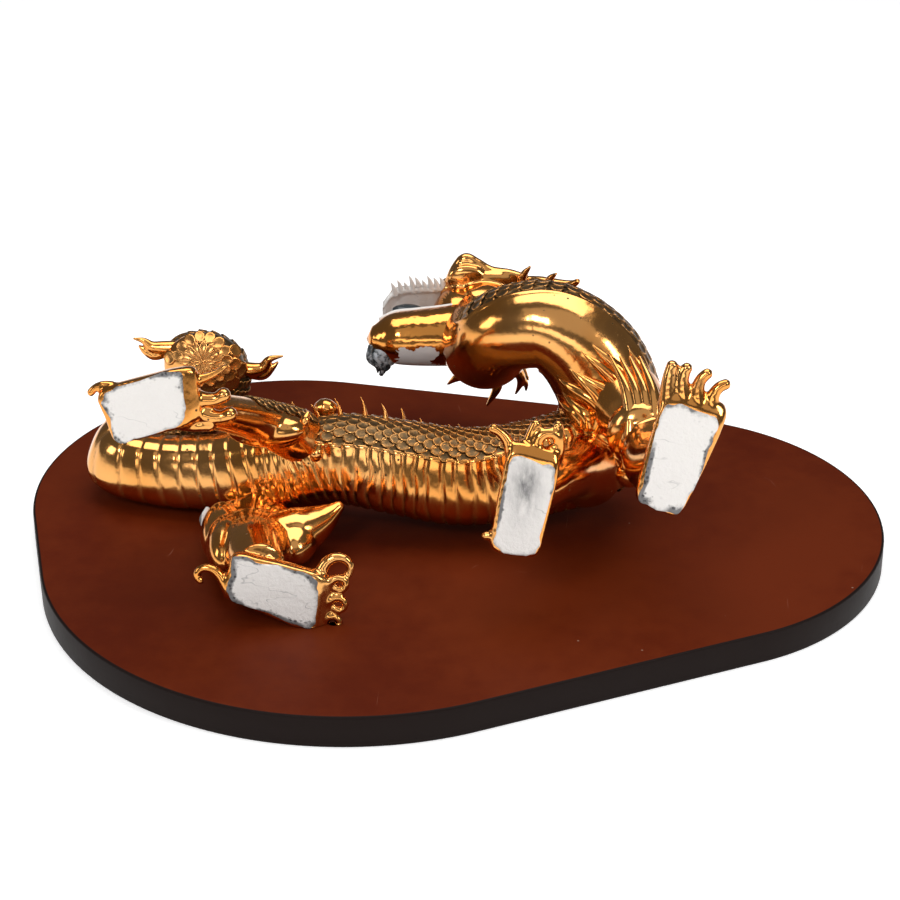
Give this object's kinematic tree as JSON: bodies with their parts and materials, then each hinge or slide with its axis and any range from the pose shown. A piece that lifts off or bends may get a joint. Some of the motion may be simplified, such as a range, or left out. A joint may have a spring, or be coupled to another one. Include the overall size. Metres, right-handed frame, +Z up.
{
  "type": "dragon sculpture on a board",
  "caption": "Long scaled dragon with a bent neck and open mouth, lying on its side on a rounded lacquered board, its flat soles facing forward.",
  "frame": {"origin": "middle of the board's underside", "axes": "+X along the board from its blunt end to its narrow end, -Y towards the dragon's soles, +Z up"},
  "size_m": [0.642, 0.501, 0.2125],
  "materials": {
    "lacquered_wood": "reddish brown satin lacquer with fine scratches, darker grey-brown on the side",
    "gilt_ceramic": "mirror-bright gold lustre with dark patina between the scales, bare white ceramic on the soles and in the mouth"
  },
  "bodies": {
    "root": {"board": "lacquered_wood", "dragon": "gilt_ceramic"}
  },
  "joints": []
}
